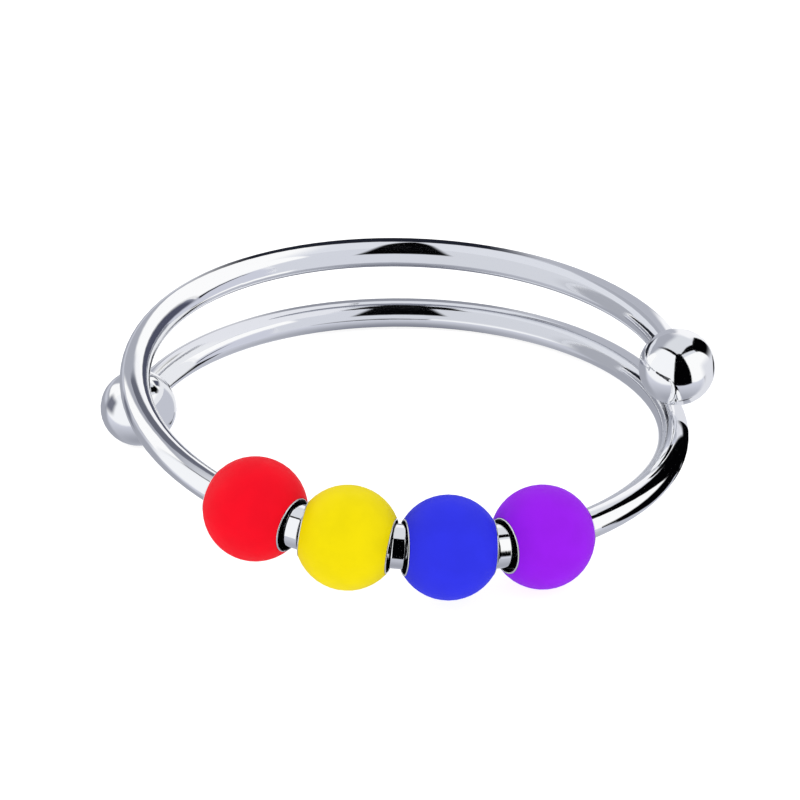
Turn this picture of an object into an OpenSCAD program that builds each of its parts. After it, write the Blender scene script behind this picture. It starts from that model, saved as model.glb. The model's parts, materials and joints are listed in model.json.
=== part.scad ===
// Open coil spinner ring: one polished wire wound about one and a half turns, with a ball on
// each end, and four coloured beads with small spacer rings between them on its front arc.
// The ring lies on its side. It rests on the left ball, the right-hand bead and the lower coil.

/* [Band] */
// Inside diameter of the coil, which is the finger size
inner_d = 17.75; // [15.5:0.25:20]
// Diameter of the round wire
wire_d = 1.05; // [0.95:0.05:1.2]
// Diameter of the ball on each end of the wire
ball_d = 2.68; // [2.3:0.02:3]
// Angle at which the front half circle starts, counted from the ring's right side
front_start = 135; // [130:1:140]
// Sweep of the upper coil, from the front's left end to the right-hand ball
upper_sweep = 127.4; // [115:0.1:130]
// Tip of the upper coil's plane upwards out of the front's plane
upper_tip = 6.2; // [5:0.1:8]
// Sweep of the lower coil, from the front's right end to the left-hand ball
lower_sweep = 220; // [205:1:222]
// Tip of the lower coil's plane downwards out of the front's plane
lower_tip = 7.8; // [7:0.1:10]

/* [Beads] */
// Diameter of a coloured bead
bead_d = 3.5; // [3.1:0.05:3.8]
// Width of the flat edge at each end of a bead's coloured body
bead_edge = 0.03; // [0.025:0.005:0.08]
// Angle of the middle of the row of beads, counted from the ring's right side
train_angle = 272; // [262:1:280]
// Clearance between the wire and a bead's metal sleeve
bead_play = 0.1; // [0.06:0.01:0.12]
// Smallest gap between the rims of two neighbouring beads
rim_gap = 0.04; // [0.03:0.005:0.1]
// Wall of the metal sleeve where it surrounds the recess at a bead's end
sleeve_wall = 0.04; // [0.03:0.01:0.08]
// Height of the sleeve's rim beyond the coloured body
rim_t = 0.03; // [0.02:0.005:0.08]

/* [Spacers] */
// Width of a spacer ring along the wire
spacer_w = 0.56; // [0.5:0.02:0.62]
// Radial thickness of a spacer ring
spacer_wall = 0.18; // [0.15:0.005:0.2]
// Rounding of a spacer ring's outer edges
spacer_edge = 0.1; // [0.06:0.01:0.14]
// Clearance between the wire and a spacer ring
spacer_play = 0.05; // [0.03:0.01:0.06]
// Clearance of a spacer ring in the recesses of the beads beside it
recess_play = 0.13; // [0.1:0.01:0.16]

/* [Pose] */
// Turn of the ring on the surface
pose_turn = -3.9; // [-180:0.1:180]
// Where the lower coil touches the surface, as an angle along it from the front's right end
touch_angle = 118.7; // [115:0.1:122]

/* [Hidden] */
$fn = 96;
BEAD_COLOURS = ["red", "gold", "blue", "darkviolet"];
BEADS = len(BEAD_COLOURS);
fit_gap = 0.01;     // between a bead's coloured body and its sleeve
rim_setback = 0.02; // from the coloured body's end edge to the sleeve's rim
cut = 1;            // how far a cutting solid runs past what it cuts

// Band
wire_r = wire_d / 2;
ball_r = ball_d / 2;
coil_r = inner_d / 2 + wire_r;
HALF_TURN = 180; // the front is flat: an exact half circle, which the coils run on from

// Spacers
spacer_bore_r = wire_r + spacer_play;
spacer_r = spacer_bore_r + spacer_wall;

// Beads: every radius is built up from the spacer ring that the end recess takes in
recess_r = spacer_r + recess_play;
sleeve_r = recess_r + sleeve_wall;
hole_r = sleeve_r + fit_gap;
end_r = hole_r + bead_edge;
rim_r = end_r - rim_setback;
bead_r = bead_d / 2;
body_half = sqrt(bead_r * bead_r - end_r * end_r);
bead_half = body_half + fit_gap + rim_t;
// The wire's curve inside the straight bore is shared between the bore's middle and its ends
wire_sag = coil_r - sqrt(coil_r * coil_r - bead_half * bead_half);
bead_ring_r = coil_r - wire_sag / 2;
bore_r = wire_r + wire_sag / 2 + bead_play;
half_pitch = atan((bead_half + rim_gap / 2) / (bead_ring_r - rim_r));
recess_depth = bead_half - (coil_r - spacer_r) * sin(half_pitch) + spacer_w / 2 + recess_play;

function train_at(i, count) = train_angle + (2 * i - count + 1) * half_pitch;

// Points on the coils, from the same turns and tips as the solids
function spun(p, a) = [p[0] * cos(a) - p[1] * sin(a), p[0] * sin(a) + p[1] * cos(a), p[2]];
function tipped(p, a) =
    let (x = p[0] - coil_r)
    [coil_r + x * cos(a) + p[2] * sin(a), p[1], p[2] * cos(a) - x * sin(a)];
function on_coil(along, drop) = tipped(spun([coil_r, 0, 0], along), -drop);
function on_lower(along) = spun(on_coil(along, lower_tip), front_start + HALF_TURN);
function on_upper(along) =
    let (p = on_coil(along, -upper_tip))
    spun([p[0], -p[1], p[2]], front_start);

// The surface touches three round places, so its normal is worked out from their middles
left_ball = on_lower(lower_sweep);
right_ball = on_upper(upper_sweep);
touch_bead = spun([bead_ring_r, 0, 0], train_at(BEADS - 1, BEADS));
touch_wire = on_lower(touch_angle);
side_a = left_ball - touch_bead;
side_b = left_ball - touch_wire;
rise_a = ball_r - bead_r;
rise_b = ball_r - wire_r;
aa = side_a * side_a;
ab = side_a * side_b;
bb = side_b * side_b;
across = ((rise_a * bb - rise_b * ab) * side_a + (rise_b * aa - rise_a * ab) * side_b)
    / (aa * bb - ab * ab);
square_to_both = cross(side_a, side_b);
upward = square_to_both * sign(square_to_both[2]) / norm(square_to_both);
up = across + upward * sqrt(1 - across * across);
pose_x = atan2(up[1], up[2]);
pose_y = atan2(-up[0], norm([up[1], up[2]]));

function rolled(p, a) = [p[0], p[1] * cos(a) - p[2] * sin(a), p[1] * sin(a) + p[2] * cos(a)];
function pitched(p, a) = [p[0] * cos(a) + p[2] * sin(a), p[1], p[2] * cos(a) - p[0] * sin(a)];
function lying(p) = spun(pitched(rolled(p, pose_x), pose_y), pose_turn);

// Round places all along the ring, which give its box: each row is a middle and a radius
step = 3;
round_places = [
    for (a = [0 : step : HALF_TURN]) [lying(spun([coil_r, 0, 0], front_start + a)), wire_r],
    for (a = [0 : step : upper_sweep]) [lying(on_upper(a)), wire_r],
    for (a = [0 : step : lower_sweep]) [lying(on_lower(a)), wire_r],
    for (i = [0 : BEADS - 1]) [lying(spun([bead_ring_r, 0, 0], train_at(i, BEADS))), bead_r],
    [lying(left_ball), ball_r],
    [lying(right_ball), ball_r],
];
function low(axis) = min([for (place = round_places) place[0][axis] - place[1]]);
function high(axis) = max([for (place = round_places) place[0][axis] + place[1]]);
box_middle = [(low(0) + high(0)) / 2, (low(1) + high(1)) / 2, low(2)];

// Lays the ring on the surface with its box's middle at the origin
module laid() {
    translate(-box_middle)
        rotate([0, 0, pose_turn])
            rotate([pose_x, pose_y, 0])
                children();
}

// Sets a piece, drawn along +Z, on the front arc at an angle and a distance from the middle
module on_front(angle, distance) {
    rotate([0, 0, angle])
        translate([distance, 0, 0])
            rotate([-90, 0, 0])
                children();
}

module wire_arc(sweep) {
    rotate_extrude(angle = sweep)
        translate([coil_r, 0])
            circle(r = wire_r);
}

// A coil runs on counterclockwise from an arc's end, tipped about the wire's own direction there
module coil(sweep, drop) {
    translate([coil_r, 0, 0])
        rotate([0, -drop, 0])
            translate([-coil_r, 0, 0]) {
                wire_arc(sweep);
                rotate([0, 0, sweep])
                    translate([coil_r, 0, 0])
                        sphere(r = ball_r);
            }
}

module band() {
    color("silver")
        laid()
            rotate([0, 0, front_start]) {
                wire_arc(HALF_TURN);
                rotate([0, 0, HALF_TURN])
                    coil(lower_sweep, lower_tip);
                mirror([0, 1, 0])
                    coil(upper_sweep, -upper_tip);
            }
}

// Coloured body of a bead: a ball with flat ends and a hole for its sleeve
module bead(i) {
    color(BEAD_COLOURS[i])
        laid()
            on_front(train_at(i, BEADS), bead_ring_r)
                difference() {
                    intersection() {
                        sphere(r = bead_r);
                        cylinder(r = bead_d, h = 2 * body_half, center = true);
                    }
                    cylinder(r = hole_r, h = bead_d + cut, center = true);
                }
}

// Half of a sleeve's section: a tube with a recess at its end and a half-round rim
module sleeve_section() {
    rim_w = rim_r - recess_r;
    difference() {
        union() {
            translate([bore_r, 0])
                square([sleeve_r - bore_r, bead_half - rim_w / 2]);
            intersection() {
                translate([recess_r + rim_w / 2, bead_half - rim_w / 2])
                    circle(r = rim_w / 2);
                translate([recess_r, bead_half - rim_t])
                    square([rim_w, rim_t]);
            }
        }
        translate([bore_r - cut, bead_half - recess_depth])
            square([recess_r - bore_r + cut, recess_depth + cut]);
    }
}

module sleeve(i) {
    color("gainsboro")
        laid()
            on_front(train_at(i, BEADS), bead_ring_r)
                rotate_extrude() {
                    sleeve_section();
                    mirror([0, 1])
                        sleeve_section();
                }
}

// Section of a spacer ring: flat outside, with both outer edges rounded
module spacer_section() {
    flat_half = spacer_w / 2 - spacer_edge;
    intersection() {
        union() {
            translate([0, -spacer_w / 2])
                square([spacer_r - spacer_edge, spacer_w]);
            translate([0, -flat_half])
                square([spacer_r, 2 * flat_half]);
            for (side = [-1, 1])
                translate([spacer_r - spacer_edge, side * flat_half])
                    circle(r = spacer_edge);
        }
        translate([spacer_bore_r, -spacer_w])
            square([spacer_r, 2 * spacer_w]);
    }
}

module spacer(i) {
    color("lightgray")
        laid()
            on_front(train_at(i, BEADS - 1), coil_r)
                rotate_extrude()
                    spacer_section();
}

band();
bead(0);  // bead_red
bead(1);  // bead_yellow
bead(2);  // bead_blue
bead(3);  // bead_purple
sleeve(0);  // sleeve_red
sleeve(1);  // sleeve_yellow
sleeve(2);  // sleeve_blue
sleeve(3);  // sleeve_purple
spacer(0);  // spacer_left
spacer(1);  // spacer_middle
spacer(2);  // spacer_right
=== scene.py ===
"""The looks of an open coil spinner ring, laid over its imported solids."""
import json
import math

import bpy
from mathutils import Matrix, Vector

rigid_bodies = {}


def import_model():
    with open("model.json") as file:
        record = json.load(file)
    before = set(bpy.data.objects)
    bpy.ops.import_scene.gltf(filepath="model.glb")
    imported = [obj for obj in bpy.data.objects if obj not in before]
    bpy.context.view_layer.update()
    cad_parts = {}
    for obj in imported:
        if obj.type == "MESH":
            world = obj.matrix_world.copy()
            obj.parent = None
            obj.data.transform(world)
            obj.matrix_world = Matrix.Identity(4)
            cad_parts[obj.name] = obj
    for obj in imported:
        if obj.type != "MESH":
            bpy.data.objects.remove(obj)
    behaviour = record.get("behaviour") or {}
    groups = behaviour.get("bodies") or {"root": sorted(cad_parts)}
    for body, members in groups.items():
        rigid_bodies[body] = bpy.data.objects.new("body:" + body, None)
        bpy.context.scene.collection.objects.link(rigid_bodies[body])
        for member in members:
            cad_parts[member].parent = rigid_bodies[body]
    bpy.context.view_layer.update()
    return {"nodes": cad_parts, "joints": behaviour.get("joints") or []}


MM = 0.001

# Camera
CAMERA_ELEVATION = 30.4
CAMERA_ROLL = -0.9
CAMERA_DISTANCE = 150 * MM
CAMERA_NEAREST = 5 * MM
CAMERA_TARGET = Vector((-0.23, 0.445, 2.36)) * MM
SENSOR = 36
LENS = 194.5

# Floor, and the light that it and the enamel get from all round
FLOOR_SIZE = 4.0
FLOOR_COLOUR = (0.38, 0.38, 0.38, 1)
FLOOR_GLOW = 0.85
ROUND_LIGHT = (1.2, 1.2, 1.2, 1)

# What the metal mirrors, in shades as a picture shows them.
# The room: the sine of a height, from straight down to straight up, and the shade there
SHADES = [
    (-1.0, (0.62, 0.63, 0.67)),
    (-0.8, (0.72, 0.73, 0.77)),
    (-0.5, (0.81, 0.82, 0.865)),
    (-0.15, (0.85, 0.86, 0.905)),
    (0.3, (0.86, 0.87, 0.90)),
    (1.0, (0.86, 0.87, 0.89)),
]
BLACK = (0.01, 0.01, 0.015)
# Far cards: name, shade, how wide the edges blur, as a sine, and the corners, in degrees round
# from the camera's side to the right, and degrees up. A later card covers the earlier ones. Here
# and in the near cards one number goes for every edge, and a list gives each edge in turn.
FAR_CARDS = [
    ("back_box", (0.98, 0.98, 0.99), 0.2, [(146, -30), (193, -30), (193, 33), (146, 40)]),
    ("left_low_flag", (0.64, 0.65, 0.69), 0.3, [(-172, -55), (-104, -55), (-104, -5), (-172, -5)]),
    ("left_high_flag", (0.66, 0.67, 0.71), [0.25, 0.2, 0.3, 0.3],
     [(-178, 0), (-104, 0), (-104, 52), (-178, 52)]),
    ("left_box", (0.97, 0.975, 0.985), [0.15, 0.05, 0.03, 0.25],
     [(-108, -12), (-8, -25), (-8, 63), (-108, 48)]),
    ("right_flag", BLACK, 0.05,
     [(80, -18), (98, -38), (140, -42), (150, -5), (150, 22), (130, 44), (100, 50)]),
    ("right_box", (1, 1, 1), [0.1, 0.1, 0.06, 0.05, 0.05, 0.05, 0.05, 0.04, 0.05],
     [(12, -25), (60, -25), (108, -22), (138, -8), (119, 17), (102, 36), (85, 52), (70, 60), (20, 61)]),
    ("right_arm", BLACK, 0.03, [(16, 62), (77, 57), (105, 38), (130, 46), (100, 66), (16, 72)]),
    ("arch", BLACK, [0.02, 0.03, 0.02, 0.4], [(-112, 45), (-8, 60), (-8, 69.5), (-112, 54)]),
    ("wedge", BLACK, [0.08, 0.04, 0.04, 0.04], [(-12, -28), (42, -25), (20, 68), (-14, 68)]),
]
# Near cards, which are light and no part of the ring: name, shade, how far inwards the edges
# fade, and the corners, both in mm. A card is seen only from the side from which its corners run
# counterclockwise.
NEAR_CARDS = [
    ("left_card", (1, 1, 1), 2.5,
     [(-36, 0.8, 4.4), (-23.5, 20.3, 4.4), (-18.2, 8.8, 22.1), (-22.4, -0.6, 24.8)]),
    ("left_dark", (0.40, 0.41, 0.46), [1.5, 4, 4, 2.5],
     [(-20, 20, 16.5), (-2, 7.4, 9.8), (-2, 7.4, 21.4), (-20, 20, 40)]),
    ("left_roof", (1, 1, 1), [0.8, 0.8, 0.8, 1.6],
     [(-1.8, 3.5, 6), (-10, 3.5, 6), (-10, 13, 6), (-1.8, 13, 6)]),
    ("middle_roof", (0.87, 0.88, 0.91), [0.6, 1.2, 0.6, 0.6],
     [(5.5, 5, 6.6), (-3.6, 5, 6.6), (-3.6, 13, 6.6), (5.5, 13, 6.6)]),
    ("low_roof", (0.92, 0.925, 0.94), 0.6,
     [(-3, -4.5, 3.1), (-7.9, -4.5, 3.1), (-7.9, 8.6, 3.1), (-3, 8.6, 3.1)]),
    ("left_blue", (0.30, 0.31, 0.38), 0.5,
     [(-6.6, 5.8, 3.3), (-5, 4.2, 3.3), (-5, 4.2, 6.2), (-6.6, 5.8, 6.2)]),
    ("low_fill", (0.92, 0.925, 0.94), 0.3,
     [(-6.6, 5.8, -1.2), (-5, 4.2, -1.2), (-5, 4.2, 3), (-6.6, 5.8, 3)]),
    ("inner_line", (0.05, 0.05, 0.08), [0.08, 0.3, 0.08, 0.8],
     [(-4.2, 7.33, 3.85), (-6.75, 5.6, 3.5), (-6.75, 5.6, 3.8), (-4.2, 7.33, 4)]),
    ("inner_line_low", (0.05, 0.05, 0.08), [0.08, 0.3, 0.08, 0.8],
     [(-4.9, 6.85, 0.92), (-6.75, 5.6, 0.6), (-6.75, 5.6, 0.85), (-4.9, 6.85, 1.05)]),
    ("inner_white", (1, 1, 1), 0.3,
     [(-2.6, 8.3, 4.1), (-6.7, 5.5, 3.6), (-6.7, 5.5, 12), (-2.6, 8.3, 12)]),
    ("inner_white_low", (1, 1, 1), 0.3,
     [(-3, 8, 1.35), (-6.7, 5.5, 0.8), (-6.7, 5.5, 2.4), (-3, 8, 2.4)]),
    ("inner_grey", (0.80, 0.81, 0.86), 0.5,
     [(-2.9, 7.3, -1.5), (-6.6, 4.4, -1.5), (-6.6, 4.4, 12), (-2.9, 7.3, 12)]),
    ("under_upper", (0.48, 0.49, 0.54), [1.6, 2, 1, 2],
     [(-7.5, 8.6, 2), (7.5, 8.6, 2), (7.5, 13, 2), (-7.5, 13, 2)]),
    ("under_lower", (0.48, 0.49, 0.54), [1.6, 2, 1, 2],
     [(-7.5, 8.6, -0.5), (7.5, 8.6, -0.5), (7.5, 13, -0.5), (-7.5, 13, -0.5)]),
    ("left_middle", (0.83, 0.84, 0.875), 0.4,
     [(0.8, 8.05, -0.2), (-3.8, 7.4, -0.2), (-3.8, 7.4, 12), (0.8, 8.05, 12)]),
    ("right_middle", (0.83, 0.84, 0.87), 0.5,
     [(4.6, 6.6, -0.2), (-0.3, 8, -0.2), (-0.3, 8, 12), (4.6, 6.6, 12)]),
    ("right_grey", (0.66, 0.67, 0.705), 1.2,
     [(7.4, 4.9, -2), (3.6, 7, -2), (3.6, 7, 12), (7.4, 4.9, 12)]),
    ("upper_patch", BLACK, 0.25,
     [(1.5, 8.1, 3.52), (-1.5, 8.1, 3.52), (0.3, 11.3, 6.3), (0.7, 11.3, 6.3)]),
    ("lower_patch", BLACK, 0.25,
     [(1.3, 8.1, 0.88), (-1.7, 8.1, 0.88), (-0.25, 10.1, 3.9), (0.4, 10.1, 3.9)]),
    ("back_dark", (0.12, 0.13, 0.17), [0.3, 3.5, 0.6, 3.5],
     [(-9, 11.2, 2.9), (7, 11.6, 2.9), (7, 11.6, 6.5), (-9, 11.2, 6.5)]),
    ("low_back_grey", (0.56, 0.57, 0.61), [0.5, 4, 0.5, 3],
     [(-7, 11.2, -1), (7, 11.6, -1), (7, 11.6, 2.8), (-7, 11.2, 2.8)]),
    ("low_back_roof", (0.86, 0.87, 0.90), 0.4,
     [(7, 9.6, 2.75), (-2, 9.6, 2.75), (-2, 11.9, 2.75), (7, 11.9, 2.75)]),
    ("low_back_left_roof", (0.90, 0.905, 0.93), 0.4,
     [(-1.5, 7, 2.75), (-9.5, 7, 2.75), (-9.5, 11.9, 2.75), (-1.5, 11.9, 2.75)]),
    ("back_grey", (0.70, 0.71, 0.75), [1, 1, 1, 4],
     [(2.8, 11.8, 0), (10, 7, 0), (10, 7, 8), (2.8, 11.8, 8)]),
    ("ball_grey", (0.76, 0.77, 0.81), [0.8, 0.8, 0.4, 0.8],
     [(-6.2, 4.2, -1.5), (-6.2, -2.5, -1.5), (-6.2, -2.5, 3.7), (-6.2, 4.2, 3.7)]),
    ("ball_dark", (0.45, 0.46, 0.51), 1.1,
     [(-13, -0.2, 0.7), (-13, 3, 0.7), (-13, 3, 3.9), (-13, -0.2, 3.9)]),
    ("ball_side", (0.88, 0.885, 0.91), 0.4,
     [(10.2, 5.2, -0.4), (10.7, -0.1, -0.4), (10.7, -0.1, 4), (10.2, 5.2, 4)]),
    ("wire_side", BLACK, 0.2,
     [(9.5, -0.7, -1), (10.6, -0.7, -1), (10.6, -0.7, 4.5), (9.5, -0.7, 4.5)]),
    ("wire_top_side", BLACK, 0.2,
     [(9.35, 0.15, -1), (10.5, 0.15, -1), (10.5, 0.15, 1.7), (9.35, 0.15, 1.7)]),
]

# Metal. A scale is how many patches there are to the mm, and a reach is the two values of a
# noise between which what it rules changes
SILVER = (0.955, 0.96, 0.97, 1)
# Painted shade: the near black that the silver's colour turns to in its crevices and in a sleeve's
# recess
PAINTED_SHADE = (0.035, 0.035, 0.04, 1)
METAL_SPECULAR = 0.5
ROUGHNESS = {"band": 0.045, "sleeve": 0.08, "spacer": 0.05}
MARKS_SCALE = {"band": 25, "sleeve": 30, "spacer": 30}
MARKS_DETAIL = 3
MARKS_STRENGTH = 0.04
HAZE_SCALE = 0.7
HAZE_DETAIL = 3
HAZE_REACH = (0.35, 0.7)
HAZE_ROUGHNESS = 0.03      # how much rougher the metal is where it's haziest
# Painted shade in crevices: how far the occlusion looks, and how many rays it takes
CREVICE_SHADE_REACH = 0.3 * MM
CREVICE_SHADE_SAMPLES = 8
# How open a place is where its colour is all painted shade, and where it is plain silver
CREVICE_SHADE_LIGHT = (0.05, 0.5)
SLEEVE_RIM = 0.06          # width of the bright rim round the recess in a sleeve's end, in mm
# Painted shade: inside a sleeve's rim its colour is painted near black, blurred over this width
PAINTED_RECESS_BLUR = 0.01         # half the width over which the recess turns dark, in mm
# The joint whose axis each spacer ring's marks go round, near enough to the ring's own
SPACER_JOINTS = {"left": "red_spin", "middle": "yellow_spin", "right": "blue_spin"}

# Enamel
COLOURS = {
    "red": (0.80, 0.002, 0.014, 1),
    "yellow": (0.78, 0.64, 0.0, 1),
    "blue": (0.025, 0.03, 0.70, 1),
    "purple": (0.28, 0.010, 0.74, 1),
}
ENAMEL_SPECULAR = 0.06
ENAMEL_ROUGHNESS = 0.5
ENAMEL_REACH = (0.3, 0.7)
CLOUD_SHADE = 0.94         # share of its colour that the enamel keeps where it's darkest
CLOUD_SCALE = 1.1
CLOUD_DETAIL = 4
SATIN_SCALE = 2.5
SATIN_CHANGE = 0.05        # how far its roughness strays to either side
SKIN_SCALE = 7
SKIN_DETAIL = 3
SKIN_STRENGTH = 0.1

BUMP_DEPTH = 0.01 * MM


def clear_scene():
    for old in list(bpy.data.objects):
        bpy.data.objects.remove(old)


def linear(shade):
    """The light that a picture shows as this shade."""
    return tuple(c / 12.92 if c <= 0.04045 else ((c + 0.055) / 1.055) ** 2.4 for c in shade) + (1,)


def make_camera():
    data = bpy.data.cameras.new("camera")
    data.sensor_width = SENSOR
    data.lens = LENS
    data.clip_start = CAMERA_NEAREST
    camera = bpy.data.objects.new("camera", data)
    bpy.context.scene.collection.objects.link(camera)
    look = Matrix.Rotation(math.radians(90 - CAMERA_ELEVATION), 4, "X")
    roll = Matrix.Rotation(math.radians(CAMERA_ROLL), 4, "Z")
    turned = look @ roll
    backwards = turned.to_3x3() @ Vector((0, 0, 1))
    camera.matrix_world = Matrix.Translation(CAMERA_TARGET + backwards * CAMERA_DISTANCE) @ turned
    bpy.context.scene.camera = camera


class Nodes:
    """Adds nodes to one tree and links them."""

    def __init__(self, tree):
        self.tree = tree

    def add(self, kind, inputs=None, **settings):
        node = self.tree.nodes.new(kind)
        for name, value in settings.items():
            setattr(node, name, value)
        for name, value in (inputs or {}).items():
            self.put(node.inputs[name], value)
        return node

    def put(self, socket, value):
        if isinstance(value, bpy.types.NodeSocket):
            self.tree.links.new(value, socket)
        else:
            socket.default_value = value

    def math(self, operation, first, second):
        return self.add("ShaderNodeMath", {0: first, 1: second}, operation=operation).outputs[0]

    def vector(self, operation, first, second):
        return self.add("ShaderNodeVectorMath", {0: first, 1: second}, operation=operation).outputs

    def ramp(self, value, low, high, start=0.0, end=1.0):
        inputs = {"Value": value, "From Min": low, "From Max": high, "To Min": start, "To Max": end}
        return self.add("ShaderNodeMapRange", inputs, interpolation_type="SMOOTHSTEP").outputs["Result"]

    def mix(self, factor, first, second):
        node = self.add("ShaderNodeMix", data_type="RGBA")
        self.put(node.inputs["Factor"], factor)
        self.put(node.inputs["A"], first)
        self.put(node.inputs["B"], second)
        return node.outputs["Result"]

    def noise(self, place, scale, detail=2):
        inputs = {"Vector": place, "Scale": scale, "Detail": detail}
        return self.add("ShaderNodeTexNoise", inputs).outputs[0]

    def bump(self, height, strength):
        inputs = {"Strength": strength, "Distance": BUMP_DEPTH, "Height": height}
        return self.add("ShaderNodeBump", inputs).outputs["Normal"]


def shaded_material(name, colour, roughness, metallic, specular):
    material = bpy.data.materials.new(name)
    material.use_nodes = True
    shader = material.node_tree.nodes["Principled BSDF"]
    shader.inputs["Base Color"].default_value = colour
    shader.inputs["Roughness"].default_value = roughness
    shader.inputs["Metallic"].default_value = metallic
    shader.inputs["Specular IOR Level"].default_value = specular
    return material, shader, Nodes(material.node_tree)


def make_floor():
    bpy.ops.mesh.primitive_plane_add(size=FLOOR_SIZE)
    floor = bpy.context.object
    floor.name = "floor"
    floor.visible_glossy = False
    material, shader, _ = shaded_material("floor", FLOOR_COLOUR, roughness=1, metallic=0, specular=0)
    shader.inputs["Emission Color"].default_value = (1, 1, 1, 1)
    shader.inputs["Emission Strength"].default_value = FLOOR_GLOW
    floor.data.materials.append(material)


def toward(turn, rise):
    """The direction this far round and up, in degrees."""
    turn, rise = math.radians(turn), math.radians(rise)
    level = math.cos(rise)
    return Vector((level * math.sin(turn), -level * math.cos(turn), math.sin(rise)))


def edges_of(points, soft):
    """Each edge of a card: the corners at its two ends, and its softness."""
    each = soft if isinstance(soft, list) else [soft] * len(points)
    return zip(points, points[1:] + points[:1], each)


def card_cover(nodes, direction, corners, soft):
    """How much of a far card covers each direction: its edges are planes through the origin."""
    points = [toward(turn, rise) for turn, rise in corners]
    middle = sum(points, Vector())
    cover = 1.0
    for start, end, blur in edges_of(points, soft):
        inward = start.cross(end).normalized()
        if inward.dot(middle) < 0:
            inward.negate()
        depth = nodes.vector("DOT_PRODUCT", direction, inward)["Value"]
        cover = nodes.math("MULTIPLY", nodes.ramp(depth, -blur / 2, blur / 2), cover)
    return cover


def make_world():
    world = bpy.data.worlds.new("studio")
    world.use_nodes = True
    world.cycles.sampling_method = "NONE"
    bpy.context.scene.world = world
    nodes = Nodes(world.node_tree)
    direction = nodes.add("ShaderNodeTexCoord").outputs["Generated"]
    height = nodes.add("ShaderNodeSeparateXYZ", {0: direction}).outputs["Z"]
    share = nodes.add("ShaderNodeMapRange", {"Value": height, "From Min": -1, "From Max": 1})
    shades = nodes.add("ShaderNodeValToRGB", {0: share.outputs["Result"]})
    stops = shades.color_ramp.elements
    while len(stops) < len(SHADES):
        stops.new(0.5)
    for stop, (sine, shade) in zip(stops, SHADES):
        stop.position = (sine + 1) / 2
        stop.color = linear(shade)
    studio = shades.outputs["Color"]
    for _, shade, soft, corners in FAR_CARDS:
        cover = card_cover(nodes, direction, corners, soft)
        studio = nodes.mix(cover, studio, linear(shade))
    mirrored = nodes.add("ShaderNodeLightPath").outputs["Is Glossy Ray"]
    seen = nodes.mix(mirrored, ROUND_LIGHT, studio)
    nodes.put(world.node_tree.nodes["Background"].inputs["Color"], seen)
    bpy.context.scene.view_settings.view_transform = "Standard"


def card_material(name, shade, fades):
    """Shines evenly on one side, and fades out at the card's edges.

    Each fade is a direction into the card, and how far that way the card starts and is full.
    """
    material = bpy.data.materials.new(name)
    material.use_nodes = True
    nodes = Nodes(material.node_tree)
    geometry = nodes.add("ShaderNodeNewGeometry").outputs
    cover = nodes.math("SUBTRACT", 1, geometry["Backfacing"])
    for inward, start, full in fades:
        depth = nodes.vector("DOT_PRODUCT", geometry["Position"], inward)["Value"]
        cover = nodes.math("MULTIPLY", nodes.ramp(depth, start, full), cover)
    clear = nodes.add("ShaderNodeBsdfTransparent").outputs[0]
    light = nodes.add("ShaderNodeEmission", {"Color": linear(shade)}).outputs[0]
    surface = nodes.add("ShaderNodeMixShader", {0: cover, 1: clear, 2: light}).outputs[0]
    nodes.put(material.node_tree.nodes["Material Output"].inputs["Surface"], surface)
    return material


def make_near_card(name, shade, soft, corners):
    """A flat card that is seen only in reflections."""
    points = [Vector(corner) * MM for corner in corners]
    mesh = bpy.data.meshes.new(name)
    mesh.from_pydata(points, [], [range(len(points))])
    normal = (points[1] - points[0]).cross(points[2] - points[0])
    fades = []
    for start, end, fade in edges_of(points, soft):
        inward = normal.cross(end - start).normalized()
        fades.append((inward, inward.dot(start), inward.dot(start) + fade * MM))
    mesh.materials.append(card_material(name, shade, fades))
    card = bpy.data.objects.new(name, mesh)
    bpy.context.scene.collection.objects.link(card)
    card.visible_camera = False
    card.visible_diffuse = False
    card.visible_transmission = False
    card.visible_shadow = False


def millimetres(nodes):
    """The place on a piece, in mm."""
    inputs = {0: nodes.add("ShaderNodeTexCoord").outputs["Object"], "Scale": 1 / MM}
    return nodes.add("ShaderNodeVectorMath", inputs, operation="SCALE").outputs["Vector"]


def round_axis(nodes, place, joint):
    """A place as its way along a joint's axis, its distance from it and its angle round it."""
    axis = Vector(joint["axis"]).normalized()
    side = axis.orthogonal().normalized()
    offset = nodes.vector("SUBTRACT", place, Vector(joint["pos_m"]) / MM)["Vector"]
    along = nodes.vector("DOT_PRODUCT", offset, axis)["Value"]
    first = nodes.vector("DOT_PRODUCT", offset, side)["Value"]
    second = nodes.vector("DOT_PRODUCT", offset, axis.cross(side))["Value"]
    off_axis = nodes.vector("CROSS_PRODUCT", offset, axis)["Vector"]
    radius = nodes.add("ShaderNodeVectorMath", {0: off_axis}, operation="LENGTH").outputs["Value"]
    return along, radius, nodes.math("ARCTAN2", second, first)


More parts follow.
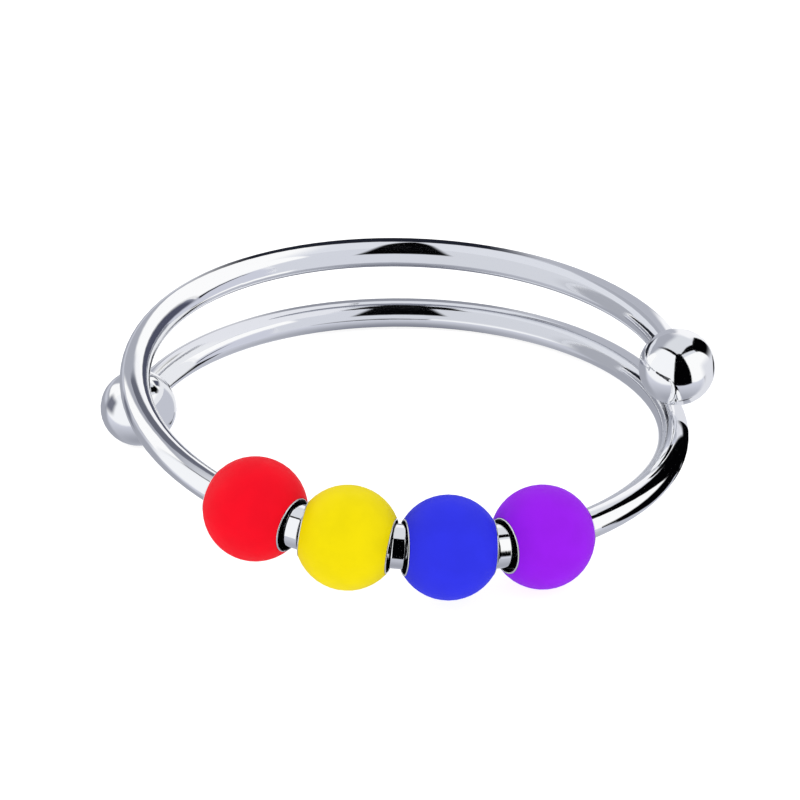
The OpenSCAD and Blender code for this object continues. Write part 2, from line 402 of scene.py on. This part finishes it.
def finish_metal(node, kind, joint, recess=None):
    """Polished silver with fine marks round a joint's axis, a little haze and painted crevice shade.

    A recess is the distance from the axis, in mm, up to which the whole piece is painted dark as shade.
    """
    smoothest = ROUGHNESS[kind]
    roughest = smoothest + HAZE_ROUGHNESS
    material, shader, nodes = shaded_material(node.name, SILVER, smoothest, 1, METAL_SPECULAR)
    place = millimetres(nodes)
    along, radius, angle = round_axis(nodes, place, joint)
    across = {
        "X": nodes.math("MULTIPLY", along, MARKS_SCALE[kind]),
        "Y": nodes.math("MULTIPLY", radius, MARKS_SCALE[kind]),
    }
    marks_place = nodes.add("ShaderNodeCombineXYZ", {**across, "Z": angle}).outputs[0]
    marks = nodes.noise(marks_place, 1, MARKS_DETAIL)
    haze = nodes.noise(place, HAZE_SCALE, HAZE_DETAIL)
    nodes.put(shader.inputs["Roughness"], nodes.ramp(haze, *HAZE_REACH, smoothest, roughest))
    nodes.put(shader.inputs["Normal"], nodes.bump(marks, MARKS_STRENGTH))
    # Painted shade: the silver's colour turns near black where the occlusion finds the place closed in
    inputs = {"Distance": CREVICE_SHADE_REACH}
    crevice_occlusion = nodes.add("ShaderNodeAmbientOcclusion", inputs, samples=CREVICE_SHADE_SAMPLES)
    unshaded = nodes.ramp(crevice_occlusion.outputs["AO"], *CREVICE_SHADE_LIGHT)
    # Painted shade: the whole piece is painted dark inside the recess too
    if recess:
        outside_painted_recess = nodes.ramp(radius, recess - PAINTED_RECESS_BLUR, recess + PAINTED_RECESS_BLUR)
        unshaded = nodes.math("MULTIPLY", unshaded, outside_painted_recess)
    nodes.put(shader.inputs["Base Color"], nodes.mix(unshaded, PAINTED_SHADE, SILVER))
    node.material_slots[0].material = material


def finish_enamel(node, colour):
    """Satin enamel: its colour clouds a little, and its skin is faintly uneven."""
    material, shader, nodes = shaded_material(node.name, colour, ENAMEL_ROUGHNESS, 0, ENAMEL_SPECULAR)
    place = millimetres(nodes)
    darker = tuple(CLOUD_SHADE * part for part in colour[:3]) + (1,)
    cloud = nodes.ramp(nodes.noise(place, CLOUD_SCALE, CLOUD_DETAIL), *ENAMEL_REACH)
    nodes.put(shader.inputs["Base Color"], nodes.mix(cloud, darker, colour))
    satin = nodes.noise(place, SATIN_SCALE)
    smoothest, roughest = ENAMEL_ROUGHNESS - SATIN_CHANGE, ENAMEL_ROUGHNESS + SATIN_CHANGE
    nodes.put(shader.inputs["Roughness"], nodes.ramp(satin, *ENAMEL_REACH, smoothest, roughest))
    skin = nodes.noise(place, SKIN_SCALE, SKIN_DETAIL)
    nodes.put(shader.inputs["Normal"], nodes.bump(skin, SKIN_STRENGTH))
    node.material_slots[0].material = material


def widest(node, joint):
    """The largest distance of a node from a joint's axis, in mm."""
    centre, axis = Vector(joint["pos_m"]), Vector(joint["axis"]).normalized()
    return max((v.co - centre).cross(axis).length for v in node.data.vertices) / MM


clear_scene()
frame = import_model()
joints = {joint["name"]: joint for joint in frame["joints"]}
for name, node in frame["nodes"].items():
    kind, _, which = name.partition("_")
    if kind == "bead":
        finish_enamel(node, COLOURS[which])
        node.visible_glossy = False
    elif kind == "sleeve":
        joint = joints[which + "_spin"]
        finish_metal(node, kind, joint, widest(node, joint) - SLEEVE_RIM)
    elif kind == "spacer":
        finish_metal(node, kind, joints[SPACER_JOINTS[which]])
    else:
        finish_metal(node, kind, joints["train_slide"])
make_camera()
make_floor()
make_world()
for card in NEAR_CARDS:
    make_near_card(*card)
